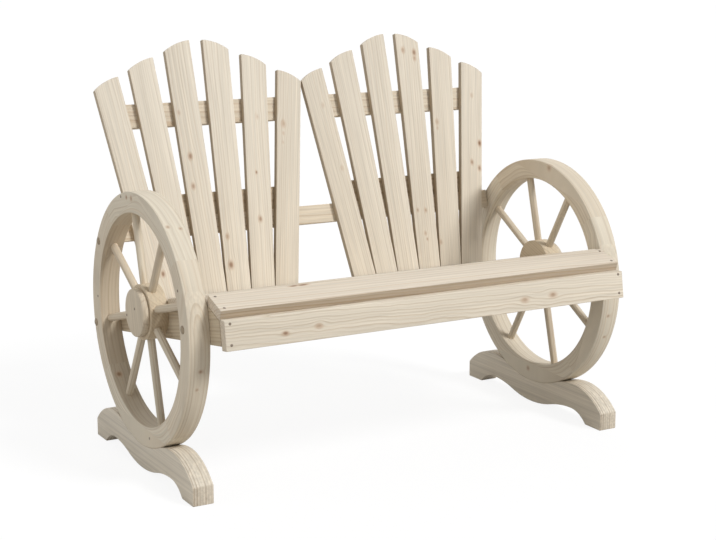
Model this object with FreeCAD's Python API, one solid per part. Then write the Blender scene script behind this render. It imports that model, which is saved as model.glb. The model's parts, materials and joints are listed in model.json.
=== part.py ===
import FreeCAD, Part
import math
import os

# A two-seat garden bench: two spoked wheels on sawn feet carry a sloping slatted seat and two fan backs.
# X runs along the bench, Y from front to back and Z up. Sizes are in millimetres, angles in degrees.

# Wheels
WHEEL_SPAN = 1080.0
WHEEL_RADIUS = 275.0
RIM_WIDTH = 45.0
RIM_THICKNESS = 47.0
FELLOES_PER_WHEEL = 4
SPOKES_PER_WHEEL = 8
SPOKE_DIAMETER = 17.0
SPOKE_TURN = 15.0
SPOKE_TENON = 18.0
HUB_RADIUS = 60.0
HUB_RISE = 17.0
CAP_RADIUS = 52.0
CAP_PROUD = 8.0
CAP_THICKNESS = 16.0

# Feet
FOOT_LENGTH = 554.0
FOOT_WAIST = 56.0
FOOT_CREST = 87.5
FOOT_CREST_SPACING = 336.0
FOOT_END_HEIGHT = 40.0
FOOT_SEAT_LENGTH = 200.0
FOOT_PAD_LENGTH = 57.0
FOOT_ARCH_HEIGHT = 26.0
FOOT_ARCH_SPACING = 326.0
FOOT_BELLY_CLEARANCE = 2.0

# Seat
SEAT_RAIL_THICKNESS = 22.0
SEAT_RAIL_SLOPE = 9.0
SEAT_RAIL_NOSE = 51.0
SEAT_RAIL_BACK_REACH = 262.0
SEAT_KNEE_REACH = 255.5
SEAT_KNEE_HEIGHT = 411.6
SEAT_SLOPE = 13.5
SEAT_SLATS = 6
SEAT_SLAT_GAP = 7.0
SEAT_SLAT_THICKNESS = 20.0
FRONT_SLAT_TIP = 18.5
FRONT_SLAT_WIDTH = 65.5
FRONT_SLAT_THICKNESS = 22.5
APRON_HEIGHT = 60.0
APRON_THICKNESS = 22.0
END_CLEARANCE = 1.0

# Back, with levels measured up the leaning plane from the middle of the long rail
BACK_LEAN = 15.0
LONG_RAIL_ANGLE = 34.8
LONG_RAIL_EDGE_DISTANCE = 10.3
LONG_RAIL_HEIGHT = 44.0
LOWER_RAIL_HEIGHT = 52.0
LOWER_RAIL_LENGTH = 404.0
UPPER_RAIL_LEVEL = 231.5
UPPER_RAIL_HEIGHT = 55.0
UPPER_RAIL_LENGTH = 464.0
BACK_RAIL_THICKNESS = 20.0
FAN_SLATS = 6
FAN_STEP = 3.45
FAN_FOOT_LEVEL = -171.5
FAN_TOP_OVERHANG = 25.2
FAN_FOOT_GAP = 0.8
FAN_TOP_WIDTH = 64.5
FAN_SLAT_THICKNESS = 14.0
FAN_MEETING_GAP = 1.5
FAN_CREST = 432.5
FAN_CREST_SLOPE = 0.346
FAN_CREST_BEND = 0.00036
FAN_TOP_BULGE = 5.0

# Worked out from the sizes above
OUTER_X = WHEEL_SPAN / 2
INNER_X = OUTER_X - RIM_THICKNESS
WHEEL_HEIGHT = FOOT_WAIST + WHEEL_RADIUS
HUB_HEIGHT = WHEEL_HEIGHT + HUB_RISE
RIM_INNER_RADIUS = WHEEL_RADIUS - RIM_WIDTH
HUB_INSET = CAP_THICKNESS - CAP_PROUD
SPOKE_STEP = 360.0 / SPOKES_PER_WHEEL
FELLOE_STEP = 360.0 / FELLOES_PER_WHEEL
FIRST_JOINT = SPOKE_TURN + SPOKE_STEP / 2
SIDES = {"left": -1, "right": 1}
SETTLE_STEPS = 12


def side_point(y, z):
    return FreeCAD.Vector(0, y, z)


def turned(angle, length=1.0):
    """A step of this length in the side view, turned up from straight back by the angle."""
    radians = math.radians(angle)
    return side_point(length * math.cos(radians), length * math.sin(radians))


def line(start, end):
    return Part.LineSegment(start, end).toShape()


def polygon(points):
    return [line(a, b) for a, b in zip(points, points[1:] + points[:1])]


def slab(edges, x_from, x_to):
    """A board sawn to a side view outline."""
    face = Part.Face(Part.Wire(edges))
    face.translate(FreeCAD.Vector(x_from, 0, 0))
    return face.extrude(FreeCAD.Vector(x_to - x_from, 0, 0))


def rod(start, direction, length, diameter):
    return Part.makeCylinder(diameter / 2, length, start, direction)


# Wheels

def rim_point(angle, radius):
    return side_point(0, WHEEL_HEIGHT) + turned(180 - angle, radius)


def spoke_angles():
    return [SPOKE_TURN + SPOKE_STEP * index for index in range(SPOKES_PER_WHEEL)]


def spoke(side, angle):
    """A dowel from the hub into the rim. The hub sits above the rim's centre, so lengths differ."""
    radians = math.radians(angle)
    across = math.sqrt(RIM_INNER_RADIUS ** 2 - (HUB_RISE * math.cos(radians)) ** 2)
    rim_distance = across - HUB_RISE * math.sin(radians)
    inner_end = HUB_RADIUS - SPOKE_TENON
    outer_end = rim_distance + SPOKE_TENON
    direction = turned(180 - angle)
    hub_middle = FreeCAD.Vector(side * (OUTER_X + INNER_X) / 2, 0, HUB_HEIGHT)
    return rod(hub_middle + direction * inner_end, direction, outer_end - inner_end, SPOKE_DIAMETER)


def felloe(side, index):
    start = FIRST_JOINT + FELLOE_STEP * index
    middle = start + FELLOE_STEP / 2
    end = start + FELLOE_STEP
    outer = [rim_point(angle, WHEEL_RADIUS) for angle in (start, middle, end)]
    inner = [rim_point(angle, RIM_INNER_RADIUS) for angle in (end, middle, start)]
    edges = [
        Part.Arc(*outer).toShape(),
        line(outer[2], inner[0]),
        Part.Arc(*inner).toShape(),
        line(inner[2], outer[0]),
    ]
    return slab(edges, side * INNER_X, side * OUTER_X)


def hub(side):
    length = RIM_THICKNESS - HUB_INSET
    start = FreeCAD.Vector(side * INNER_X, 0, HUB_HEIGHT)
    return rod(start, FreeCAD.Vector(side, 0, 0), length, 2 * HUB_RADIUS)


def hub_cap(side):
    start = FreeCAD.Vector(side * (OUTER_X - HUB_INSET), 0, HUB_HEIGHT)
    return rod(start, FreeCAD.Vector(side, 0, 0), CAP_THICKNESS, 2 * CAP_RADIUS)


# Feet

def level_arc(level_point, end):
    """An arc that leaves its first point level and runs to the end point."""
    step = end - level_point
    radius = step.Length ** 2 / (2 * step.z)
    centre = level_point + side_point(0, radius)
    middle = (level_point - centre) + (end - centre)
    middle.normalize()
    return Part.Arc(level_point, centre + middle * abs(radius), end).toShape()


def half_foot(direction):
    """The outline from the middle of the hollow round one end to the middle of the belly."""
    half = FOOT_LENGTH / 2
    seat_edge = FOOT_SEAT_LENGTH / 2
    seat_rise = WHEEL_HEIGHT - math.sqrt(WHEEL_RADIUS ** 2 - seat_edge ** 2)
    hollow = side_point(0, FOOT_WAIST)
    seat_end = side_point(direction * seat_edge, seat_rise)
    crest_top = side_point(direction * FOOT_CREST_SPACING / 2, FOOT_CREST)
    end_top = side_point(direction * half, FOOT_END_HEIGHT)
    end_bottom = side_point(direction * half, 0)
    pad_edge = side_point(direction * (half - FOOT_PAD_LENGTH), 0)
    arch_top = side_point(direction * FOOT_ARCH_SPACING / 2, FOOT_ARCH_HEIGHT)
    belly = side_point(0, FOOT_BELLY_CLEARANCE)
    turning_point = (arch_top + belly) * 0.5
    return [
        level_arc(hollow, seat_end),
        level_arc(crest_top, seat_end),
        level_arc(crest_top, end_top),
        line(end_top, end_bottom),
        line(end_bottom, pad_edge),
        level_arc(arch_top, pad_edge),
        level_arc(arch_top, turning_point),
        level_arc(belly, turning_point),
    ]


def foot(side):
    """A sawn foot: a hollow that the wheel stands in, two shoulders, two end pads and two arches."""
    edges = Part.sortEdges(half_foot(1) + half_foot(-1))[0]
    return slab(edges, side * INNER_X, side * OUTER_X)


# Seat

KNEE = side_point(-SEAT_KNEE_REACH, SEAT_KNEE_HEIGHT)
NOSE_TOP = KNEE + turned(180 + FRONT_SLAT_TIP, FRONT_SLAT_WIDTH)
NOSE_DOWN = turned(270 - SEAT_RAIL_SLOPE)
NOSE_BOTTOM = NOSE_TOP + NOSE_DOWN * SEAT_RAIL_NOSE
SEAT_BACKWARD = turned(-SEAT_SLOPE)
SEAT_UPWARD = turned(90 - SEAT_SLOPE)


def seat_rail_top(y):
    return KNEE.z - (y - KNEE.y) * math.tan(math.radians(SEAT_SLOPE))


def seat_rail_bottom(y):
    return NOSE_BOTTOM.z - (y - NOSE_BOTTOM.y) * math.tan(math.radians(SEAT_RAIL_SLOPE))


def seat_rail(side):
    reach = SEAT_RAIL_BACK_REACH
    back_top = side_point(reach, seat_rail_top(reach))
    back_bottom = side_point(reach, seat_rail_bottom(reach))
    edges = polygon([NOSE_TOP, KNEE, back_top, back_bottom, NOSE_BOTTOM])
    return slab(edges, side * (INNER_X - SEAT_RAIL_THICKNESS), side * INNER_X)


def cross_board(corner, along, width, upward, thickness, half_length):
    """A straight board across the bench, from one corner of its end."""
    corners = [
        corner,
        corner + along * width,
        corner + along * width + upward * thickness,
        corner + upward * thickness,
    ]
    return slab(polygon(corners), -half_length, half_length)


def apron():
    """The board across the rails' noses. Its top is planed level and meets the front slat's edge."""
    outward = turned(180 - SEAT_RAIL_SLOPE) * APRON_THICKNESS
    downward = NOSE_DOWN * APRON_HEIGHT
    lip = turned(90 + FRONT_SLAT_TIP)
    corners = [
        NOSE_TOP,
        NOSE_TOP + downward,
        NOSE_TOP + downward + outward,
        NOSE_TOP + outward,
        NOSE_TOP + lip * (outward.z / lip.z),
    ]
    half_length = INNER_X - END_CLEARANCE
    return slab(polygon(corners), -half_length, half_length)


def front_slat():
    forward = turned(180 + FRONT_SLAT_TIP)
    upward = turned(90 + FRONT_SLAT_TIP)
    half_length = INNER_X - END_CLEARANCE
    return cross_board(KNEE, forward, FRONT_SLAT_WIDTH, upward, FRONT_SLAT_THICKNESS, half_length)


# Back

BACK_UPWARD = turned(90 - BACK_LEAN)
BACK_INWARD = turned(-BACK_LEAN)
LONG_RAIL_MIDDLE = rim_point(180 - LONG_RAIL_ANGLE, WHEEL_RADIUS - LONG_RAIL_EDGE_DISTANCE)
RAIL_FACE = LONG_RAIL_MIDDLE - BACK_INWARD * (BACK_RAIL_THICKNESS / 2)
FAN_FACE = RAIL_FACE - BACK_INWARD * FAN_SLAT_THICKNESS
LOWER_RAIL_LEVEL = LONG_RAIL_HEIGHT / 2


def seat_slat_start(index):
    """The distance back from the knee to a slat, and the width that fills the seat up to the fans."""
    depths = []
    for lift in (0, SEAT_SLAT_THICKNESS):
        to_fan = FAN_FACE - KNEE - SEAT_UPWARD * lift
        depths.append(to_fan.dot(BACK_INWARD) / SEAT_BACKWARD.dot(BACK_INWARD))
    pitch = (min(depths) - SEAT_SLAT_GAP) / SEAT_SLATS
    return SEAT_SLAT_GAP + pitch * index, pitch - SEAT_SLAT_GAP


def seat_slat(index):
    start, width = seat_slat_start(index)
    corner = KNEE + SEAT_BACKWARD * start
    half_length = INNER_X - END_CLEARANCE
    return cross_board(corner, SEAT_BACKWARD, width, SEAT_UPWARD, SEAT_SLAT_THICKNESS, half_length)


def back_rail(level, height, centre_x, length):
    corner = RAIL_FACE + BACK_UPWARD * level
    board = cross_board(corner, BACK_UPWARD, height, BACK_INWARD, BACK_RAIL_THICKNESS, length / 2)
    board.translate(FreeCAD.Vector(centre_x, 0, 0))
    return board


def crest(x):
    return FAN_CREST - FAN_CREST_SLOPE * abs(x) - FAN_CREST_BEND * x ** 2


# Each fan fills half the room between the wheels, and its outer slat overhangs a wheel at the top.
FAN_TOP_REACH = (INNER_X + FAN_TOP_OVERHANG - FAN_MEETING_GAP / 2) / 2
FAN_RISE = FAN_CREST - FAN_FOOT_LEVEL
FAN_EDGE_RISE = crest(FAN_TOP_REACH) - FAN_FOOT_LEVEL
FAN_EDGE_SHARE = FAN_EDGE_RISE / FAN_RISE
FAN_EDGE_LEAN = math.tan(math.radians(FAN_STEP * (FAN_SLATS - 1) / 2)) * FAN_EDGE_RISE
FAN_FLARED_WIDTH = (FAN_TOP_WIDTH + FAN_FOOT_GAP) * FAN_EDGE_SHARE
FAN_FOOT_ROOM = 2 * (FAN_TOP_REACH - FAN_EDGE_LEAN) + FAN_FOOT_GAP - FAN_FLARED_WIDTH
FAN_FOOT_PITCH = FAN_FOOT_ROOM / (FAN_SLATS - FAN_EDGE_SHARE)
FAN_CENTRE_X = max(FAN_TOP_REACH, UPPER_RAIL_LENGTH / 2, LOWER_RAIL_LENGTH / 2) + FAN_MEETING_GAP / 2


def fan_edge(index, edge):
    """The foot and the top of one long edge of a slat, as distance across and level, edge being -1 or 1."""
    place = index - (FAN_SLATS - 1) / 2
    lean = math.tan(math.radians(FAN_STEP * place))
    foot_x = place * FAN_FOOT_PITCH + edge * (FAN_FOOT_PITCH - FAN_FOOT_GAP) / 2
    flare = edge * (FAN_TOP_WIDTH + FAN_FOOT_GAP - FAN_FOOT_PITCH) / 2
    slope = lean + flare / FAN_RISE
    top_x = foot_x
    for _ in range(SETTLE_STEPS):
        top_x = foot_x + slope * (crest(top_x) - FAN_FOOT_LEVEL)
    return (foot_x, FAN_FOOT_LEVEL), (top_x, crest(top_x))


def fan_slat(side, index):
    """A tapered slat whose top is sawn to a shallow arch between its two corners."""
    left_foot, left_top = fan_edge(index, -1)
    right_foot, right_top = fan_edge(index, 1)
    corners = []
    for across, level in (right_top, right_foot, left_foot, left_top):
        corner = FAN_FACE + BACK_UPWARD * level
        corner.x = side * FAN_CENTRE_X + across
        corners.append(corner)
    chord = corners[0] - corners[3]
    rise = chord.cross(BACK_INWARD)
    rise.normalize()
    arch_middle = (corners[0] + corners[3]) * 0.5 + rise * FAN_TOP_BULGE
    edges = [line(a, b) for a, b in zip(corners, corners[1:])]
    edges.append(Part.Arc(corners[3], arch_middle, corners[0]).toShape())
    face = Part.Face(Part.Wire(edges))
    return face.extrude(BACK_INWARD * FAN_SLAT_THICKNESS)


# Assembly

pieces = {}
for name, side in SIDES.items():
    spokes = [spoke(side, angle) for angle in spoke_angles()]
    for index in range(FELLOES_PER_WHEEL):
        pieces[f"{name}_felloe_{index + 1}"] = felloe(side, index).cut(spokes)
    pieces[f"{name}_spokes"] = Part.makeCompound(spokes)
    pieces[f"{name}_hub"] = hub(side).cut(spokes)
    pieces[f"{name}_hub_cap"] = hub_cap(side)
    pieces[f"{name}_foot"] = foot(side)
    pieces[f"{name}_seat_rail"] = seat_rail(side)
    fan_x = side * FAN_CENTRE_X
    for index in range(FAN_SLATS):
        pieces[f"{name}_fan_slat_{index + 1}"] = fan_slat(side, index)
    pieces[f"{name}_lower_fan_rail"] = back_rail(LOWER_RAIL_LEVEL, LOWER_RAIL_HEIGHT, fan_x, LOWER_RAIL_LENGTH)
    pieces[f"{name}_upper_fan_rail"] = back_rail(UPPER_RAIL_LEVEL, UPPER_RAIL_HEIGHT, fan_x, UPPER_RAIL_LENGTH)

pieces["apron"] = apron()
pieces["front_seat_slat"] = front_slat()
for index in range(SEAT_SLATS):
    pieces[f"seat_slat_{index + 1}"] = seat_slat(index)
pieces["long_back_rail"] = back_rail(-LONG_RAIL_HEIGHT / 2, LONG_RAIL_HEIGHT, 0, 2 * INNER_X)

# The origin lies on the ground, under the middle of the whole bench.
box = Part.makeCompound(list(pieces.values())).BoundBox
to_origin = FreeCAD.Vector(0, -(box.YMin + box.YMax) / 2, 0)
os.makedirs("parts", exist_ok=True)
for name, shape in pieces.items():
    shape.translate(to_origin)
    shape.exportStep(os.path.join("parts", f"{name}.step"))
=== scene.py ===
"""A garden bench of pale softwood between two spoked wagon wheels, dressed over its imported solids."""

import json
import math
import random

import bmesh
import bpy
import numpy as np
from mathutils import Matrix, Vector

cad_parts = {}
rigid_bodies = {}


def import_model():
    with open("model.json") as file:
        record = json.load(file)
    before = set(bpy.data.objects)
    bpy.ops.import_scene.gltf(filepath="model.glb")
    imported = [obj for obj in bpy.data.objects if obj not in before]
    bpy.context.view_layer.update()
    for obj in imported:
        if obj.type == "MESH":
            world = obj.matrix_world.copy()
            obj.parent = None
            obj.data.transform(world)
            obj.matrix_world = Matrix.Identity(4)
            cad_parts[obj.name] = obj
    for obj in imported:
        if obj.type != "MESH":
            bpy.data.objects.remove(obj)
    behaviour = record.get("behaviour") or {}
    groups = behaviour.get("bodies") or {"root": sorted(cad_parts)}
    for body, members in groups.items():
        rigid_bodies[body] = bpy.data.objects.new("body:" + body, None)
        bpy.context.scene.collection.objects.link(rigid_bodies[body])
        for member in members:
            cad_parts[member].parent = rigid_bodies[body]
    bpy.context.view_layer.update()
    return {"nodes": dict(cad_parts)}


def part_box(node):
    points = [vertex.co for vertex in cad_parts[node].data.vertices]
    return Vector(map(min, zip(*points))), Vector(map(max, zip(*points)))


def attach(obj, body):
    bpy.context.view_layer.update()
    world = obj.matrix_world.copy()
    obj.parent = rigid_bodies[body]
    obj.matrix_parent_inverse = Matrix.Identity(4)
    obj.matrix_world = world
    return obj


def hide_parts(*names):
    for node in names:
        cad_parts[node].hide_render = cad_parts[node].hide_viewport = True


for leftover in list(bpy.data.objects):
    bpy.data.objects.remove(leftover)
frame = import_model()


# The two feet: thick planks of softwood stood on edge under the wheels, hollowed on top for the
# rim and arched below. They are bandsawn, so their long edges are only lightly eased by hand.

FOOT_EASE = 0.0020
FOOT_RING_MM = 6.4
RINGS_TO_FOOT = 312.1
lot = random.Random(11)


def linear(hex_colour):
    """An sRGB hex colour as the linear RGBA that shaders take."""
    channels = []
    for place in (1, 3, 5):
        value = int(hex_colour[place:place + 2], 16) / 255
        channels.append(value / 12.92 if value <= 0.04045 else ((value + 0.055) / 1.055) ** 2.4)
    return (*channels, 1.0)


def add(tree, kind, settings, links):
    """A node of that kind, with its settings (own ones, or sockets by name or number) and its links."""
    made = tree.nodes.new(kind)
    for name, value in settings.items():
        if isinstance(name, str) and hasattr(made, name):
            setattr(made, name, value)
        else:
            made.inputs[name].default_value = value
    for name, source in links.items():
        tree.links.new(source, made.inputs[name])
    return made


def swerve_round_knots(tree, sideways, knots, across, stretch):
    """Pushes the grain to both sides of each knot, across. Gives where a point then lies sideways in
    the log, and how much of it is knot. A knot is its place and radius (mm) and how dark it is, and a
    stretch under 1 draws it that much longer along x, y or z."""
    here = add(tree, "ShaderNodeTexCoord", {}, {}).outputs["Object"]
    spots = None
    for (x, y, z), knot_mm, depth in knots:
        offset = add(tree, "ShaderNodeVectorMath",
                     {"operation": "SUBTRACT", 1: (x / 1000, y / 1000, z / 1000)}, {0: here})
        radii = add(tree, "ShaderNodeVectorMath",
                    {"operation": "MULTIPLY", 1: [share * 1000 / knot_mm for share in stretch]},
                    {0: offset.outputs[0]}).outputs[0]
        away = add(tree, "ShaderNodeVectorMath", {"operation": "LENGTH"}, {0: radii}).outputs["Value"]
        aside = add(tree, "ShaderNodeVectorMath", {"operation": "DOT_PRODUCT", 1: across}, {0: radii})
        turn = add(tree, "ShaderNodeMath", {"operation": "DIVIDE"}, {0: aside.outputs["Value"], 1: away})
        # Grain is pushed aside by most of the knot's radius, dying away within five radii.
        push = add(tree, "ShaderNodeMapRange",
                   {"interpolation_type": "SMOOTHERSTEP", "From Min": 0.7, "From Max": 5.0,
                    "To Min": -0.0009 * knot_mm, "To Max": 0.0}, {"Value": away})
        sideways = add(tree, "ShaderNodeMath", {"operation": "MULTIPLY_ADD"},
                       {0: turn.outputs[0], 1: push.outputs[0], 2: sideways}).outputs[0]
        # Its colour fades out a little short of two radii.
        spot = add(tree, "ShaderNodeMapRange",
                   {"interpolation_type": "SMOOTHSTEP", "From Min": 0.15, "From Max": 1.9,
                    "To Min": depth, "To Max": 0.0}, {"Value": away}).outputs[0]
        if spots is not None:
            spot = add(tree, "ShaderNodeMath", {"operation": "MAXIMUM"}, {0: spots, 1: spot}).outputs[0]
        spots = spot
    return sideways, spots


def late_wood(tree, place, sideways, ring_mm, contrast, wander_mm, waves):
    """How much of a point is dark late wood, by its distance from the pith. The rings wander, in so many
    waves to a metre of the trunk."""
    # Round the trunk a wave is about 60 mm.
    slow = add(tree, "ShaderNodeVectorMath", {"operation": "MULTIPLY", 1: (waves, 16, 16)}, {0: place})
    wander = add(tree, "ShaderNodeTexNoise", {"Scale": 1.0, "Detail": 2.0}, {"Vector": slow.outputs[0]})
    spread = add(tree, "ShaderNodeMath", {"operation": "MULTIPLY", 1: wander_mm / 1000},
                 {0: wander.outputs["Fac"]})
    deep = add(tree, "ShaderNodeSeparateXYZ", {}, {0: place}).outputs["Z"]
    flat = add(tree, "ShaderNodeCombineXYZ", {}, {"Y": sideways, "Z": deep})
    radius = add(tree, "ShaderNodeVectorMath", {"operation": "LENGTH"}, {0: flat.outputs[0]})
    reach = add(tree, "ShaderNodeMath", {"operation": "ADD"},
                {0: radius.outputs["Value"], 1: spread.outputs[0]})
    # Real rings are 2 to 4 mm wide; they are drawn a little wider, because a pixel is over 2 mm.
    ring = add(tree, "ShaderNodeMath", {"operation": "MULTIPLY", 1: 1000 / ring_mm}, {0: reach.outputs[0]})
    year = add(tree, "ShaderNodeMath", {"operation": "FLOOR"}, {0: ring.outputs[0]})
    season = add(tree, "ShaderNodeMath", {"operation": "FRACT"}, {0: ring.outputs[0]})
    harvest = add(tree, "ShaderNodeTexWhiteNoise", {"noise_dimensions": "1D"}, {"W": year.outputs[0]})
    # A year starts pale, darkens slowly to its late wood and drops back within a tenth of a ring.
    darken = add(tree, "ShaderNodeValToRGB", {}, {"Fac": season.outputs[0]})
    darken.color_ramp.elements[0].color = (0.0, 0.0, 0.0, 1.0)
    darken.color_ramp.elements[1].color = (0.0, 0.0, 0.0, 1.0)
    for position, depth in ((0.45, 0.12), (0.84, 1.0), (0.93, 0.8)):
        step = darken.color_ramp.elements.new(position)
        step.color = (depth, depth, depth, 1.0)
    # Some years leave only a quarter of the contrast of others.
    strength = add(tree, "ShaderNodeMapRange", {"To Min": 0.25 * contrast, "To Max": contrast},
                   {"Value": harvest.outputs["Value"]})
    return add(tree, "ShaderNodeMath", {"operation": "MULTIPLY"},
               {0: darken.outputs["Color"], 1: strength.outputs[0]}).outputs[0]


def planed_fir(name, pale, rosy, late, ring_mm, contrast, wander_mm, knots=(), across=(1, 0, 0),
               stretch=(1, 1, 1), streaks=(0.92, 1.05), waves=2.5):
    """Planed, unfinished fir. Pale early wood with darker late wood rings, cut through the log, so
    faces show straight lines or arches and cut ends show arcs. Matt, with a faint silk along the fibre.
    streaks are the darkest and palest share of colour in the faint lines along the grain."""
    wood = bpy.data.materials.new(name)
    wood.use_nodes = True
    tree = wood.node_tree
    tree.nodes.clear()
    place = add(tree, "ShaderNodeAttribute", {"attribute_name": "log_place"}, {}).outputs["Vector"]
    tone = add(tree, "ShaderNodeAttribute", {"attribute_name": "tone"}, {}).outputs["Fac"]
    sawn = add(tree, "ShaderNodeAttribute", {"attribute_name": "sawn"}, {}).outputs["Fac"]
    sideways = add(tree, "ShaderNodeSeparateXYZ", {}, {0: place}).outputs["Y"]
    if knots:
        sideways, spots = swerve_round_knots(tree, sideways, knots, across, stretch)
    late_share = late_wood(tree, place, sideways, ring_mm, contrast, wander_mm, waves)
    # Fibre streaks are 1 mm wide in the wood; here 3 mm by 150 mm, the finest that shows.
    along = add(tree, "ShaderNodeVectorMath", {"operation": "MULTIPLY", 1: (7, 330, 330)}, {0: place})
    fibre = add(tree, "ShaderNodeTexNoise", {"Scale": 1.0, "Detail": 3.0, "Roughness": 0.6},
                {"Vector": along.outputs[0]}).outputs["Fac"]
    # Wider streaks, 5.5 mm by 600 mm, are the faint straight lines that show on every planed face.
    broad = add(tree, "ShaderNodeVectorMath", {"operation": "MULTIPLY", 1: (1.6, 180, 180)}, {0: place})
    streak = add(tree, "ShaderNodeTexNoise", {"Scale": 1.0, "Detail": 2.0}, {"Vector": broad.outputs[0]})
    thread = add(tree, "ShaderNodeMapRange",
                 {"From Min": 0.3, "From Max": 0.7, "To Min": 0.93, "To Max": 1.04}, {"Value": fibre})
    band = add(tree, "ShaderNodeMapRange",
               {"From Min": 0.3, "From Max": 0.7, "To Min": streaks[0], "To Max": streaks[1]},
               {"Value": streak.outputs["Fac"]})
    shade = add(tree, "ShaderNodeMath", {"operation": "MULTIPLY"}, {0: thread.outputs[0], 1: band.outputs[0]})
    body = add(tree, "ShaderNodeMix", {"data_type": "RGBA", 6: linear(pale), 7: linear(rosy)}, {0: tone})
    ringed = add(tree, "ShaderNodeMix", {"data_type": "RGBA", 7: linear(late)},
                 {0: late_share, 6: body.outputs[2]})
    planed = add(tree, "ShaderNodeVectorMath", {"operation": "SCALE"},
                 {0: ringed.outputs[2], "Scale": shade.outputs[0]})
    # Sawn surfaces are rougher, so they look darker and warmer; on narrow edges and rims' hollow sides this
    # is also painted shade.
    colour = add(tree, "ShaderNodeMix",
                 {"data_type": "RGBA", "blend_type": "MULTIPLY", 7: linear("#D8D0C6")},
                 {0: sawn, 6: planed.outputs[0]}).outputs[2]
    if knots:
        heart = add(tree, "ShaderNodeMapRange", {"From Min": 0.45, "From Max": 1.0}, {"Value": spots})
        knot = add(tree, "ShaderNodeMix", {"data_type": "RGBA", 6: linear("#C0A083"), 7: linear("#86644C")},
                   {0: heart.outputs[0]})
        colour = add(tree, "ShaderNodeMix", {"data_type": "RGBA"},
                     {0: spots, 6: colour, 7: knot.outputs[2]}).outputs[2]
    height = add(tree, "ShaderNodeMath", {"operation": "ADD"}, {0: fibre, 1: late_share})
    bump = add(tree, "ShaderNodeBump", {"Strength": 0.35, "Distance": 0.0006}, {"Height": height.outputs[0]})
    rough = add(tree, "ShaderNodeMapRange", {"To Min": 0.72, "To Max": 0.58}, {"Value": late_share})
    shader = add(tree, "ShaderNodeBsdfPrincipled", {"IOR": 1.46, "Specular IOR Level": 0.35},
                 {"Base Color": colour, "Roughness": rough.outputs[0], "Normal": bump.outputs[0]})
    add(tree, "ShaderNodeOutputMaterial", {}, {"Surface": shader.outputs[0]})
    return wood


# Corners this near are one (m), faces this near to flat are one, and edges this sharp are eased.
SAME_CORNER = 0.00002
FLAT_WITHIN = math.radians(0.4)
SHARP_FROM = math.radians(30)
# An edge runs round an axle if its ends are this near to one level and one radius (m). Sockets are bored
# within this distance (m) of the middle of the wheel's thickness.
SAME_LEVEL = 0.0001
SAME_RADIUS = 0.0003
SOCKET_HALF = 0.012


def eased_board(node_name, ease, turned_about=None):
    """A piece over that solid, with its sharp edges rounded. turned_about, an (x, y, z), keeps that to
    edges that run round a wheel's axis, so butted felloe ends and dowel sockets stay crisp."""
    shell = bmesh.new()
    shell.from_mesh(frame["nodes"][node_name].data)
    bmesh.ops.remove_doubles(shell, verts=shell.verts, dist=SAME_CORNER)
    bmesh.ops.dissolve_limit(shell, angle_limit=FLAT_WITHIN, verts=shell.verts, edges=shell.edges)
    weight = shell.edges.layers.float.new("bevel_weight_edge")
    for edge in shell.edges:
        if len(edge.link_faces) != 2 or edge.calc_face_angle() < SHARP_FROM:
            continue
        eased = True
        if turned_about is not None:
            near, far = (corner.co - Vector(turned_about) for corner in edge.verts)
            level = abs(near.x - far.x) < SAME_LEVEL
            circling = abs(near.yz.length - far.yz.length) < SAME_RADIUS
            eased = level and circling and abs(near.x) > SOCKET_HALF
        edge[weight] = float(eased)
        edge.smooth = eased
    for face in shell.faces:
        face.smooth = True
    rough_mesh = bpy.data.meshes.new("sawn")
    shell.to_mesh(rough_mesh)
    shell.free()
    sawn = bpy.data.objects.new("sawn", rough_mesh)
    bpy.context.scene.collection.objects.link(sawn)
    plane = sawn.modifiers.new("eased edges", "BEVEL")
    plane.limit_method = "WEIGHT"
    plane.width = ease
    plane.segments = 2
    plane.harden_normals = True
    done = bpy.data.meshes.new_from_object(sawn.evaluated_get(bpy.context.evaluated_depsgraph_get()))
    bpy.data.objects.remove(sawn)
    piece = bpy.data.objects.new("fir_" + node_name, done)
    done.name = piece.name
    bpy.context.scene.collection.objects.link(piece)
    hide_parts(node_name)
    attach(piece, "root")
    return piece


def numbers_of(items, field):
    """A field of three numbers of every point or face, one row each."""
    rows = np.empty(len(items) * 3)
    items.foreach_get(field, rows)
    return rows.reshape(-1, 3)


def unrolled(run, side, curve):
    """Places along and across a rim as in a straight board. curve is the rim's radius and the two turns from
    the piece's middle between which the grain runs straight; elsewhere it follows the rim."""
    radius, first, last = curve
    reach = np.hypot(run, radius + side)
    turn = np.arctan2(run, radius + side)
    straight = np.clip(turn, first, last) - first
    return radius * (turn - straight) + reach * np.sin(straight), reach * np.cos(straight) - radius


def write_field(mesh, name, kind, domain, values, chosen=None):
    """Keeps those values on the mesh's points or faces, or only on the chosen ones."""
    layer = mesh.attributes.get(name) or mesh.attributes.new(name, kind, domain)
    field = "vector" if kind == "FLOAT_VECTOR" else "value"
    if chosen is not None:
        kept = np.empty(values.size)
        layer.data.foreach_get(field, kept)
        kept = kept.reshape(values.shape)
        kept[chosen] = values[chosen]
        values = kept
    layer.data.foreach_set(field, np.ascontiguousarray(values, dtype=np.float32).ravel())


# Each board comes from its own stretch of a long trunk (m), so that no two share their grain.
TRUNK = (3, 60)
# How squarely a face looks sideways or along the grain to be an edge or an end, and how rough an end is.
EDGE_FACING = 0.9
END_FACING = 0.8
END_ROUGHNESS = 0.3


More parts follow.
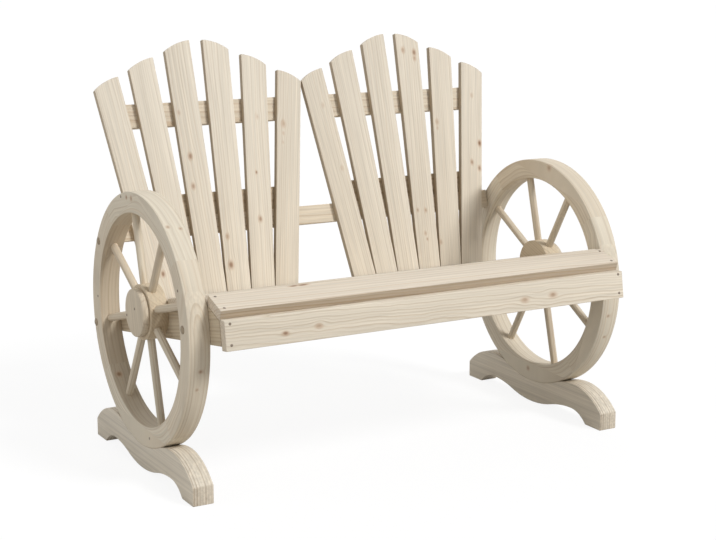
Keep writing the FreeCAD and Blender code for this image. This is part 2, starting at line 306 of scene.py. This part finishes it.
def cut_from_log(piece, middle, grain, across, pith, lean=(0.0, 0.0), chosen=None, sawn_and_shaded_edges=0.0,
                 curve=None):
    """Writes where each point lay in the log: along it, and across it from the pith. pith is the board's
    distance from it (m) and lean how far it runs out over a metre. chosen picks one board of several, and
    sawn_and_shaded_edges says how much its narrow edges, or a rim's hollow side where curve is set, take the
    darker sawn tint, which is partly painted shade for faces that sit in shadow."""
    mesh = piece.data
    grain = np.array(Vector(grain).normalized())
    across = np.array(across, float)
    across -= grain * across.dot(grain)
    across /= np.linalg.norm(across)
    through = np.cross(grain, across)
    inside = numbers_of(mesh.vertices, "co") - np.array(middle)
    run = inside @ grain
    side = inside @ across
    facing = numbers_of(mesh.polygons, "normal")
    edgewise = np.abs(facing @ across)
    if curve:
        run, side = unrolled(run, side, curve)
        outward = numbers_of(mesh.polygons, "center") - (np.array(middle) - across * curve[0])
        outward -= np.outer(outward @ through, through)
        edgewise = -np.sum(facing * outward, axis=1) / np.linalg.norm(outward, axis=1)
    side = side + pith[0] + run * lean[0]
    deep = inside @ through + pith[1] + run * lean[1]
    logged = np.stack([run + lot.uniform(*TRUNK), side, deep], axis=1)
    tones = np.full(len(inside), lot.random())
    sawn_and_shade_shares = np.where(edgewise > EDGE_FACING, sawn_and_shaded_edges, 0.0)
    sawn_and_shade_shares = np.where(np.abs(facing @ grain) > END_FACING, END_ROUGHNESS, sawn_and_shade_shares)
    write_field(mesh, "log_place", "FLOAT_VECTOR", "POINT", logged, chosen)
    write_field(mesh, "tone", "FLOAT", "POINT", tones, chosen)
    if chosen is None:
        write_field(mesh, "sawn", "FLOAT", "FACE", sawn_and_shade_shares)


def dress(piece, wood):
    """Gives the whole piece that wood."""
    piece.data.materials.clear()
    piece.data.materials.append(wood)


foot_fir = planed_fir("bandsawn fir plank", "#E5DDCD", "#E0D6C5", "#9C8262", ring_mm=FOOT_RING_MM,
                      contrast=0.65, wander_mm=1.5, streaks=(0.86, 1.08))
for node_name in ("left_foot", "right_foot"):
    foot = eased_board(node_name, FOOT_EASE)
    low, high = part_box(node_name)
    # The plank lay far from the pith, so its rings are nearly flat, and its left face is early wood.
    pith = (0.0, RINGS_TO_FOOT * FOOT_RING_MM / 1000 + (high.x - low.x) / 2)
    cut_from_log(foot, (low + high) / 2, (0, 1, 0), (0, 0, 1), pith)
    dress(foot, foot_fir)


# The rims: four felloes a wheel, bandsawn as arcs from wide softwood boards and butted end to end. Their
# edges are eased, the dowel spokes sit in bored sockets, and the lines of the grain follow the rim.

FELLOE_EASE = 0.0020
FELLOE_FIRST_TURN = 82.5
RIM_WIDTH = 0.045
FRONT_FELLOE = 4
FRONT_PITH = (-0.0285, 0.0)
FRONT_RUN_OUT = (math.radians(7), math.radians(31))
lows, highs = zip(*(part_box(f"left_felloe_{number}") for number in (1, 2, 3, 4)))
rim_low = Vector(map(min, *lows))
rim_high = Vector(map(max, *highs))
left_middle = (rim_low + rim_high) / 2
right_middle = left_middle * Vector((-1, 1, 1))
tread_r = (rim_high.z - rim_low.z) / 2
rim_r = tread_r - RIM_WIDTH / 2
tread_mm = tread_r * 1000
hollow_mm = (tread_r - RIM_WIDTH) * 1000


def on_wheel(x, turn, radius):
    """A place on a wheel (mm), by its turn up from the front (degrees) and its distance from the middle."""
    turn = math.radians(turn)
    y = left_middle.y * 1000 - radius * math.cos(turn)
    z = left_middle.z * 1000 + radius * math.sin(turn)
    return (x, y, z)


felloe_knots = [(on_wheel(-530, 55.2, tread_mm), 4.0, 0.7), (on_wheel(-505, 53.6, tread_mm), 3.5, 0.7),
                (on_wheel(-514, -10.9, tread_mm), 4.2, 0.8), (on_wheel(-518, -19.5, tread_mm), 3.4, 0.7),
                (on_wheel(513, -12.2, tread_mm), 3.8, 0.7), (on_wheel(518, -24.2, tread_mm), 3.4, 0.7),
                (on_wheel(493, 78.6, 268), 7.0, 0.7), (on_wheel(493, -93.1, 248), 5.5, 0.7),
                (on_wheel(-540, 99.8, 263), 4.4, 0.9), (on_wheel(-540, 93.8, 261), 5.4, 0.8),
                (on_wheel(-524.5, -135.7, hollow_mm), 6.5, 0.9)]
felloe_fir = planed_fir("bandsawn fir felloe", "#E1D8C6", "#DDD1BD", "#B99F7E", ring_mm=6.5, contrast=0.42,
                        wander_mm=12, knots=felloe_knots)
# Both rims' hollow sides take the darker sawn tint; the left rim's much more, as painted shade, for it lies
# in shadow.
for side, wheel_middle, hollow_sawn_and_shade in (("left", left_middle, 0.65), ("right", right_middle, 0.1)):
    for number in (1, 2, 3, 4):
        felloe = eased_board(f"{side}_felloe_{number}", FELLOE_EASE, wheel_middle)
        turn = math.radians(FELLOE_FIRST_TURN + 90 * (number - 1))
        outward = Vector((0, -math.cos(turn), math.sin(turn)))
        chord = (0, math.sin(turn), math.cos(turn))
        # The front felloe holds the heart of its log, and on a stretch above its middle the grain runs
        # straight out of the tread, so pointed arches show there.
        if number == FRONT_FELLOE:
            pith = FRONT_PITH
            run_out = FRONT_RUN_OUT
        else:
            pith = (0.09 + lot.uniform(-0.02, 0.02), 0.10)
            run_out = (0.0, 0.0)
        cut_from_log(felloe, wheel_middle + outward * rim_r, chord, outward, pith, lean=(0.01, 0.02),
                     sawn_and_shaded_edges=hollow_sawn_and_shade, curve=(rim_r, *run_out))
        dress(felloe, felloe_fir)


# The hubs: a turned softwood block in the middle of each wheel with a round cap nailed on outside,
# and eight dowels that run from sockets in the block to sockets in the rim.

HUB_EASE = 0.0025
HUB_GRAIN = (0, 0.94, 0.34)
CAP_GRAIN = (0, 0.17, 0.985)
SPOKE_EASE = 0.0004
SPOKE_COUNT = 8
SPOKE_FIRST_TURN = 15
SPOKE_STEP = 360 / SPOKE_COUNT


def quarter_turned(way):
    """That way, turned by a quarter from the back to the top, as from +Y to +Z."""
    return (0, -way[2], way[1])


block_fir = planed_fir("turned fir block, browner", "#D6C7AE", "#D0BFA4", "#AB8F6C", ring_mm=5.5,
                       contrast=0.4, wander_mm=8)
cap_fir = planed_fir("turned fir cap", "#DCD2BF", "#D7CAB5", "#B39A7B", ring_mm=5.5, contrast=0.4,
                     wander_mm=8)
dowel_fir = planed_fir("fir dowel", "#DED4C1", "#D8CAB4", "#B0946F", ring_mm=5.0, contrast=0.55,
                       wander_mm=8, streaks=(0.85, 1.06))
for side, wheel_middle in (("left", left_middle), ("right", right_middle)):
    hub_low, hub_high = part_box(side + "_hub")
    cap_low, cap_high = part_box(side + "_hub_cap")
    axle = (cap_low + cap_high) / 2
    hub_middle = (wheel_middle.x, axle.y, axle.z)
    hub = eased_board(side + "_hub", HUB_EASE, ((hub_low.x + hub_high.x) / 2, axle.y, axle.z))
    cut_from_log(hub, hub_middle, HUB_GRAIN, quarter_turned(HUB_GRAIN), pith=(0.03, 0.06))
    dress(hub, block_fir)
    cap = eased_board(side + "_hub_cap", HUB_EASE)
    cut_from_log(cap, hub_middle, CAP_GRAIN, quarter_turned(CAP_GRAIN), pith=(0.09, 0.05), lean=(0.03, 0.02))
    dress(cap, cap_fir)
    spokes = eased_board(side + "_spokes", SPOKE_EASE)
    places = numbers_of(spokes.data.vertices, "co") - np.array(hub_middle)
    turns = np.degrees(np.arctan2(places[:, 2], -places[:, 1]))
    nearest = np.round((turns - SPOKE_FIRST_TURN) / SPOKE_STEP).astype(int) % SPOKE_COUNT
    for count in range(SPOKE_COUNT):
        turn = math.radians(SPOKE_FIRST_TURN + SPOKE_STEP * count)
        axis = (0, -math.cos(turn), math.sin(turn))
        cut_from_log(spokes, hub_middle, axis, (1, 0, 0), pith=(0.03, 0.05), lean=(0.0, 0.02),
                     chosen=nearest == count)
    dress(spokes, dowel_fir)


# The seat: a bearer bolted to the inside of each wheel, an apron board across their front ends, and
# boards nailed across. The front board tips down over the apron. The apron is flat-sawn and knotty.

BOARD_EASE = 0.0016
BEARER_RUN = (0, 0.985, -0.17)
BEARER_LEVEL = 0.35
APRON_UP = (0, 0.156, 0.988)
APRON_MIDDLE = (0, -0.329, 0.366)
APRON_FACE_AT_FLOOR = -386.3
FRONT_BACKWARD = (0, 0.948, 0.317)
FRONT_MIDDLE = (0, -0.271, 0.40)
SEAT_BACKWARD = (0, 0.97, -0.23)
# Knots of the apron: x and height on its face, radius (all mm) and how dark it is. The face, carried on
# down, would meet the floor at the y above (mm).
apron_marks = ((-361, 356, 4.4, 0.9), (-285, 362, 4.8, 0.7), (222, 359, 5.8, 0.7), (297, 362, 6.0, 0.75))
apron_knots = [((x, APRON_FACE_AT_FLOOR + z * APRON_UP[1] / APRON_UP[2], z), knot_mm, depth)
               for x, z, knot_mm, depth in apron_marks]
# Two dark gouges near the back edge of the front board, long along it.
gouges = [((-281, -251.7, 431.5), 2.8, 1.0), ((-302, -251.7, 431.5), 2.4, 1.0)]
seat_fir = planed_fir("planed fir seat board", "#E3DACA", "#DFD3C2", "#BCA282", ring_mm=6.0, contrast=0.6,
                      wander_mm=14, knots=gouges, across=FRONT_BACKWARD, stretch=(0.22, 1, 1))
apron_fir = planed_fir("planed fir, flat sawn", "#E6DDCC", "#E2D7C5", "#AF9676", ring_mm=4.4, contrast=0.5,
                       wander_mm=10, knots=apron_knots, across=APRON_UP, stretch=(0.62, 1, 1), waves=11)
# Browner fir for the bearers and lower fan rails: partly a browner board, partly painted shade, for they sit
# in shadow behind the wheels and between the slats.
browner_and_shaded_fir = planed_fir("planed fir, browner stock and painted shade", "#C8B9A0", "#C2B197", "#9C8160", ring_mm=6.0,
                       contrast=0.6, wander_mm=14)
for node_name in ("left_seat_rail", "right_seat_rail"):
    bearer = eased_board(node_name, BOARD_EASE)
    low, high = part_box(node_name)
    cut_from_log(bearer, ((low.x + high.x) / 2, 0.0, BEARER_LEVEL), BEARER_RUN, quarter_turned(BEARER_RUN),
                 pith=(0.08, 0.05), lean=(0.02, 0.02))
    dress(bearer, browner_and_shaded_fir)
apron = eased_board("apron", BOARD_EASE)
cut_from_log(apron, APRON_MIDDLE, (1, 0, 0), APRON_UP, pith=(0.05, 0.05), lean=(0.02, 0.014))
dress(apron, apron_fir)
front_board = eased_board("front_seat_slat", BOARD_EASE)
# Its sawn edges are darkened, partly as painted shade on the front edge, which faces down into shadow.
cut_from_log(front_board, FRONT_MIDDLE, (1, 0, 0), FRONT_BACKWARD, pith=(0.09, 0.06), lean=(0.012, 0.01),
             sawn_and_shaded_edges=0.85)
dress(front_board, seat_fir)
for number in (1, 2, 3, 4, 5, 6):
    board = eased_board(f"seat_slat_{number}", BOARD_EASE)
    low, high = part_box(f"seat_slat_{number}")
    pith = (lot.uniform(0.01, 0.05), 0.07)
    cut_from_log(board, (low + high) / 2, (1, 0, 0), SEAT_BACKWARD, pith, lean=(0.015, 0.02))
    dress(board, seat_fir)


# The back: a long rail bolted between the wheels, and on it two fans of six slats, each held by a
# short lower rail and a short upper rail behind. Slats are straight-grained and rounded at the top.

BACK_LEAN = math.radians(15)
FAN_FACE_AT_FLOOR = 78.6
FAN_STEP = math.radians(3.45)
FAN_SLATS = 6
# Knots of the fans, marked like the apron's.
slat_marks = ((-411, 388, 4.6, 0.9), (-324, 739, 3.6, 0.5), (-311, 574, 4.6, 0.75), (-309, 641, 5.0, 0.85),
              (-242, 392, 6.0, 0.9), (-242, 456, 4.0, 0.7), (-153, 488, 4.6, 0.8), (-148, 594, 2.6, 0.9),
              (-128, 720, 4.0, 0.35), (-69, 658, 2.4, 0.4), (-65, 679, 3.0, 0.45), (-62, 700, 5.5, 0.6),
              (50, 738, 4.0, 0.35), (80, 588, 4.0, 0.35), (276, 474, 3.2, 0.7), (290, 417, 3.2, 0.6),
              (293, 403, 2.6, 0.7), (293, 860, 4.6, 0.7), (299, 472, 3.6, 0.7), (323, 839, 4.2, 0.7),
              (324, 853, 5.0, 0.9), (331, 392, 3.6, 0.62), (364, 667, 2.8, 0.5), (365, 682, 4.6, 0.6),
              (453, 578, 4.4, 0.8), (473, 562, 4.4, 0.85), (478, 742, 3.6, 0.5), (483, 623, 5.0, 1.0))
slat_knots = [((x, FAN_FACE_AT_FLOOR + z * math.tan(BACK_LEAN), z), knot_mm, depth)
              for x, z, knot_mm, depth in slat_marks]
rail_fir = planed_fir("planed fir rail", "#E2D7C3", "#DECFB9", "#B5946C", ring_mm=4.6, contrast=0.45,
                      wander_mm=10)
slat_fir = planed_fir("planed fir slat, straight grained", "#E4DBCB", "#DFD5C4", "#B79D7C", ring_mm=4.6,
                      contrast=0.36, wander_mm=14, knots=slat_knots, stretch=(1, 1, 0.62))
up_back = Vector((0, math.sin(BACK_LEAN), math.cos(BACK_LEAN)))
# The lower fan rails take the browner fir as painted shade, for they show only in the narrow gaps between the
# slats.
for node_name, fir in (("long_back_rail", rail_fir), ("left_lower_fan_rail", browner_and_shaded_fir),
                       ("left_upper_fan_rail", rail_fir), ("right_lower_fan_rail", browner_and_shaded_fir),
                       ("right_upper_fan_rail", rail_fir)):
    rail = eased_board(node_name, BOARD_EASE)
    low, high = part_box(node_name)
    pith = (lot.uniform(0.02, 0.06), 0.06)
    cut_from_log(rail, (low + high) / 2, (1, 0, 0), up_back, pith, lean=(0.015, 0.02))
    dress(rail, fir)
for side in ("left", "right"):
    for count in range(FAN_SLATS):
        node_name = f"{side}_fan_slat_{count + 1}"
        slat = eased_board(node_name, BOARD_EASE)
        tilt = FAN_STEP * (count - (FAN_SLATS - 1) / 2)
        axis = up_back * math.cos(tilt) + Vector((math.sin(tilt), 0, 0))
        low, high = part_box(node_name)
        pith = (lot.choice((-1, 1)) * lot.uniform(0.05, 0.11), 0.05)
        lean = (lot.uniform(-0.02, 0.02), lot.uniform(0.0, 0.03))
        # The slats' sawn sides are darkened, partly as painted shade for the narrow gaps between the slats.
        cut_from_log(slat, (low + high) / 2, axis, (1, 0, 0), pith, lean, sawn_and_shaded_edges=1.0)
        dress(slat, slat_fir)


# The fixings: domed bolt heads on the rims where the bearers and the long rail are held, and small
# steel nail heads at the ends of the front board and the apron, in the hub caps and in the rims.

BOLT_HEAD = 0.0155
BOLT_RISE = 0.0038
NAIL_HEAD = 0.0055
NAIL_RISE = 0.0008
# Places across a wheel or a board's end, as (y, z) in millimetres.
RIM_BOLTS = ((-229, 363), (273, 273), (241, 466))
RIM_NAILS = ((93.0, 587.2), (256.9, 336.8), (-208.1, 438.5), (-34.0, 81.8))
CAP_NAILS = ((57.4, 335.0), (10.7, 357.8))
APRON_NAILS = ((-325.0, 388.4), (-331.6, 346.5))
FRONT_NAILS = ((-256.5, 429.9), (-299.8, 415.4))
BOARD_NAIL_X = 480


def weathered_steel(name, clean, dull):
    """Plain steel fixings gone dull outdoors: pale brownish grey with darker bloom, and rough, so that
    only a soft glint shows."""
    steel = bpy.data.materials.new(name)
    steel.use_nodes = True
    tree = steel.node_tree
    tree.nodes.clear()
    here = add(tree, "ShaderNodeTexCoord", {}, {}).outputs["Object"]
    # Bloom spots about 3 mm across.
    bloom = add(tree, "ShaderNodeTexNoise", {"Scale": 330.0, "Detail": 3.0}, {"Vector": here})
    colour = add(tree, "ShaderNodeMix", {"data_type": "RGBA", 6: linear(clean), 7: linear(dull)},
                 {0: bloom.outputs["Fac"]})
    rough = add(tree, "ShaderNodeMapRange", {"To Min": 0.42, "To Max": 0.68}, {"Value": bloom.outputs["Fac"]})
    shader = add(tree, "ShaderNodeBsdfPrincipled", {"Metallic": 0.4},
                 {"Base Color": colour.outputs[2], "Roughness": rough.outputs[0]})
    add(tree, "ShaderNodeOutputMaterial", {}, {"Surface": shader.outputs[0]})
    return steel


def head_tree(name):
    """Domed heads with a thin rolled rim, one at each point, turned to the point's facing."""
    tree = bpy.data.node_groups.new(name, "GeometryNodeTree")
    tree.interface.new_socket("Places", in_out="INPUT", socket_type="NodeSocketGeometry")
    tree.interface.new_socket("Head diameter", in_out="INPUT", socket_type="NodeSocketFloat")
    tree.interface.new_socket("Head rise", in_out="INPUT", socket_type="NodeSocketFloat")
    tree.interface.new_socket("Steel", in_out="INPUT", socket_type="NodeSocketMaterial")
    tree.interface.new_socket("Heads", in_out="OUTPUT", socket_type="NodeSocketGeometry")
    given = add(tree, "NodeGroupInput", {}, {}).outputs
    half = add(tree, "ShaderNodeMath", {"operation": "MULTIPLY", 1: 0.5}, {0: given["Head diameter"]})
    ball = add(tree, "GeometryNodeMeshUVSphere", {"Segments": 20, "Rings": 10}, {"Radius": half.outputs[0]})
    squat = add(tree, "ShaderNodeMath", {"operation": "DIVIDE"}, {0: given["Head rise"], 1: half.outputs[0]})
    squash = add(tree, "ShaderNodeCombineXYZ", {"X": 1.0, "Y": 1.0}, {"Z": squat.outputs[0]})
    dome = add(tree, "GeometryNodeTransform", {},
               {"Geometry": ball.outputs["Mesh"], "Scale": squash.outputs[0]})
    edge = add(tree, "GeometryNodeCurvePrimitiveCircle", {"Resolution": 24}, {"Radius": half.outputs[0]})
    # The wire that is the rolled rim has a radius of about a third of the rise.
    wire = add(tree, "ShaderNodeMath", {"operation": "MULTIPLY", 1: 0.35}, {0: given["Head rise"]})
    round_wire = add(tree, "GeometryNodeCurvePrimitiveCircle", {"Resolution": 6}, {"Radius": wire.outputs[0]})
    rolled = add(tree, "GeometryNodeCurveToMesh", {},
                 {"Curve": edge.outputs["Curve"], "Profile Curve": round_wire.outputs["Curve"]})
    head = add(tree, "GeometryNodeJoinGeometry", {}, {"Geometry": dome.outputs[0]})
    tree.links.new(rolled.outputs[0], head.inputs["Geometry"])
    facing = add(tree, "GeometryNodeInputNamedAttribute", {"data_type": "FLOAT_VECTOR", "Name": "facing"}, {})
    turned = add(tree, "FunctionNodeAlignRotationToVector", {"axis": "Z"},
                 {"Vector": facing.outputs["Attribute"]})
    heads = add(tree, "GeometryNodeInstanceOnPoints", {},
                {"Points": given["Places"], "Instance": head.outputs[0], "Rotation": turned.outputs[0]})
    solid = add(tree, "GeometryNodeRealizeInstances", {}, {"Geometry": heads.outputs[0]})
    dressed = add(tree, "GeometryNodeSetMaterial", {},
                  {"Geometry": solid.outputs[0], "Material": given["Steel"]})
    add(tree, "NodeGroupOutput", {}, {"Heads": dressed.outputs[0]})
    return tree


def driven_heads(name, places, diameter, rise, steel):
    """One mesh of heads at those places, each a point in millimetres and the way that it faces."""
    spots = bpy.data.meshes.new(name)
    spots.from_pydata([Vector(point) / 1000 for point, _ in places], [], [])
    facing = spots.attributes.new("facing", "FLOAT_VECTOR", "POINT")
    for number, (_, way) in enumerate(places):
        facing.data[number].vector = way
    marker = bpy.data.objects.new(name + "_places", spots)
    bpy.context.scene.collection.objects.link(marker)
    tree = head_tree(name)
    sockets = {socket.name: socket.identifier for socket in tree.interface.items_tree}
    modifier = marker.modifiers.new(name, "NODES")
    modifier.node_group = tree
    modifier[sockets["Head diameter"]] = diameter
    modifier[sockets["Head rise"]] = rise
    modifier[sockets["Steel"]] = steel
    done = bpy.data.meshes.new_from_object(marker.evaluated_get(bpy.context.evaluated_depsgraph_get()))
    bpy.data.objects.remove(marker)
    heads = bpy.data.objects.new(name, done)
    bpy.context.scene.collection.objects.link(heads)
    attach(heads, "root")


def on_both_sides(x, places):
    """Those places on the outer faces of both wheels, left first, with the way that each faces."""
    return [((way * x, y, z), (way, 0, 0)) for way in (-1, 1) for y, z in places]


bolt_steel = weathered_steel("dull steel bolt", "#A89A84", "#7D6D58")
nail_steel = weathered_steel("dull steel nail", "#94887A", "#6C5E50")
rim_face = -rim_low.x * 1000
cap_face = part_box("right_hub_cap")[1].x * 1000
driven_heads("bolt_heads", on_both_sides(rim_face, RIM_BOLTS), BOLT_HEAD, BOLT_RISE, bolt_steel)
nail_places = on_both_sides(cap_face, CAP_NAILS) + on_both_sides(rim_face, RIM_NAILS)
for x in (-BOARD_NAIL_X, BOARD_NAIL_X):
    nail_places += [((x, y, z), quarter_turned(APRON_UP)) for y, z in APRON_NAILS]
    nail_places += [((x, y, z), quarter_turned(FRONT_BACKWARD)) for y, z in FRONT_NAILS]
driven_heads("nail_heads", nail_places, NAIL_HEAD, NAIL_RISE, nail_steel)


# The studio: a plain white floor that runs to the horizon, a key light from the right front, weak soft
# lights from the left and from behind, even white light all round, and the photograph's camera.

FLOOR_HALF = 40.0
# The camera looks down, and right of straight to the back, by these angles.
CAMERA_PLACE = (-1.7152, -3.0267, 1.1127)
CAMERA_DOWN = math.radians(11.762)
CAMERA_RIGHT = math.radians(29.407)
LENS_MM = 78.27
SENSOR_MM = 36.0
FARTHEST_SEEN = 200.0
floor_mesh = bpy.data.meshes.new("floor")
corners = [(x * FLOOR_HALF, y * FLOOR_HALF, 0) for x, y in ((-1, -1), (1, -1), (1, 1), (-1, 1))]
floor_mesh.from_pydata(corners, [], [(0, 1, 2, 3)])
floor = bpy.data.objects.new("floor", floor_mesh)
bpy.context.scene.collection.objects.link(floor)


def seen_by_camera(tree):
    """1 for what the camera sees, straight or by a reflection, and 0 for light that falls on the bench."""
    rays = add(tree, "ShaderNodeLightPath", {}, {}).outputs
    seen = add(tree, "ShaderNodeMath", {"operation": "MAXIMUM"},
               {0: rays["Is Camera Ray"], 1: rays["Is Glossy Ray"]})
    return add(tree, "ShaderNodeMath", {"operation": "MAXIMUM"},
               {0: seen.outputs[0], 1: rays["Is Transmission Ray"]}).outputs[0]


# Matt paper: it throws back about half of the light, and the camera sees it white with a faint shadow.
paper = bpy.data.materials.new("white paper floor")
paper.use_nodes = True
tree = paper.node_tree
tree.nodes.clear()
seen = seen_by_camera(tree)
sheet = add(tree, "ShaderNodeMix", {"data_type": "RGBA", 6: linear("#C2BEB8"), 7: linear("#646464")},
            {0: seen})
matt = add(tree, "ShaderNodeBsdfDiffuse", {}, {"Color": sheet.outputs[2]})
lift = add(tree, "ShaderNodeMath", {"operation": "MULTIPLY", 1: 0.89}, {0: seen})
glow = add(tree, "ShaderNodeEmission", {"Color": (1, 1, 1, 1)}, {"Strength": lift.outputs[0]})
both = add(tree, "ShaderNodeAddShader", {}, {0: matt.outputs[0], 1: glow.outputs[0]})
add(tree, "ShaderNodeOutputMaterial", {}, {"Surface": both.outputs[0]})
floor_mesh.materials.append(paper)

# The studio's walls look white, and the light that they give the bench is weaker.
world = bpy.data.worlds.new("white studio")
bpy.context.scene.world = world
world.use_nodes = True
tree = world.node_tree
tree.nodes.clear()
level = add(tree, "ShaderNodeMapRange", {"To Min": 0.38, "To Max": 1.0}, {"Value": seen_by_camera(tree)})
sky = add(tree, "ShaderNodeBackground", {"Color": (1, 1, 1, 1)}, {"Strength": level.outputs[0]})
add(tree, "ShaderNodeOutputWorld", {}, {"Surface": sky.outputs[0]})

# Each light comes from so many degrees right of the front and above the floor, and is so many degrees wide.
for name, azimuth, height, energy, width in (("key light", 28, 41, 2.15, 16),
                                             ("fill light", -97, 20, 0.62, 60),
                                             ("back light", 160, 35, 0.5, 40)):
    sun = bpy.data.lights.new(name, "SUN")
    sun.energy = energy
    sun.angle = math.radians(width)
    lamp = bpy.data.objects.new(name, sun)
    round_by = math.radians(azimuth)
    up_by = math.radians(height)
    level_way = Vector((math.sin(round_by), -math.cos(round_by), 0))
    toward = level_way * math.cos(up_by) + Vector((0, 0, math.sin(up_by)))
    lamp.rotation_euler = toward.to_track_quat("Z", "Y").to_euler()
    bpy.context.scene.collection.objects.link(lamp)

lens = bpy.data.cameras.new("camera")
lens.sensor_width = SENSOR_MM
lens.lens = LENS_MM
lens.clip_end = FARTHEST_SEEN
camera = bpy.data.objects.new("camera", lens)
camera.location = CAMERA_PLACE
camera.rotation_euler = (math.pi / 2 - CAMERA_DOWN, 0.0, -CAMERA_RIGHT)
bpy.context.scene.collection.objects.link(camera)
bpy.context.scene.camera = camera
bpy.context.scene.view_settings.view_transform = "Standard"
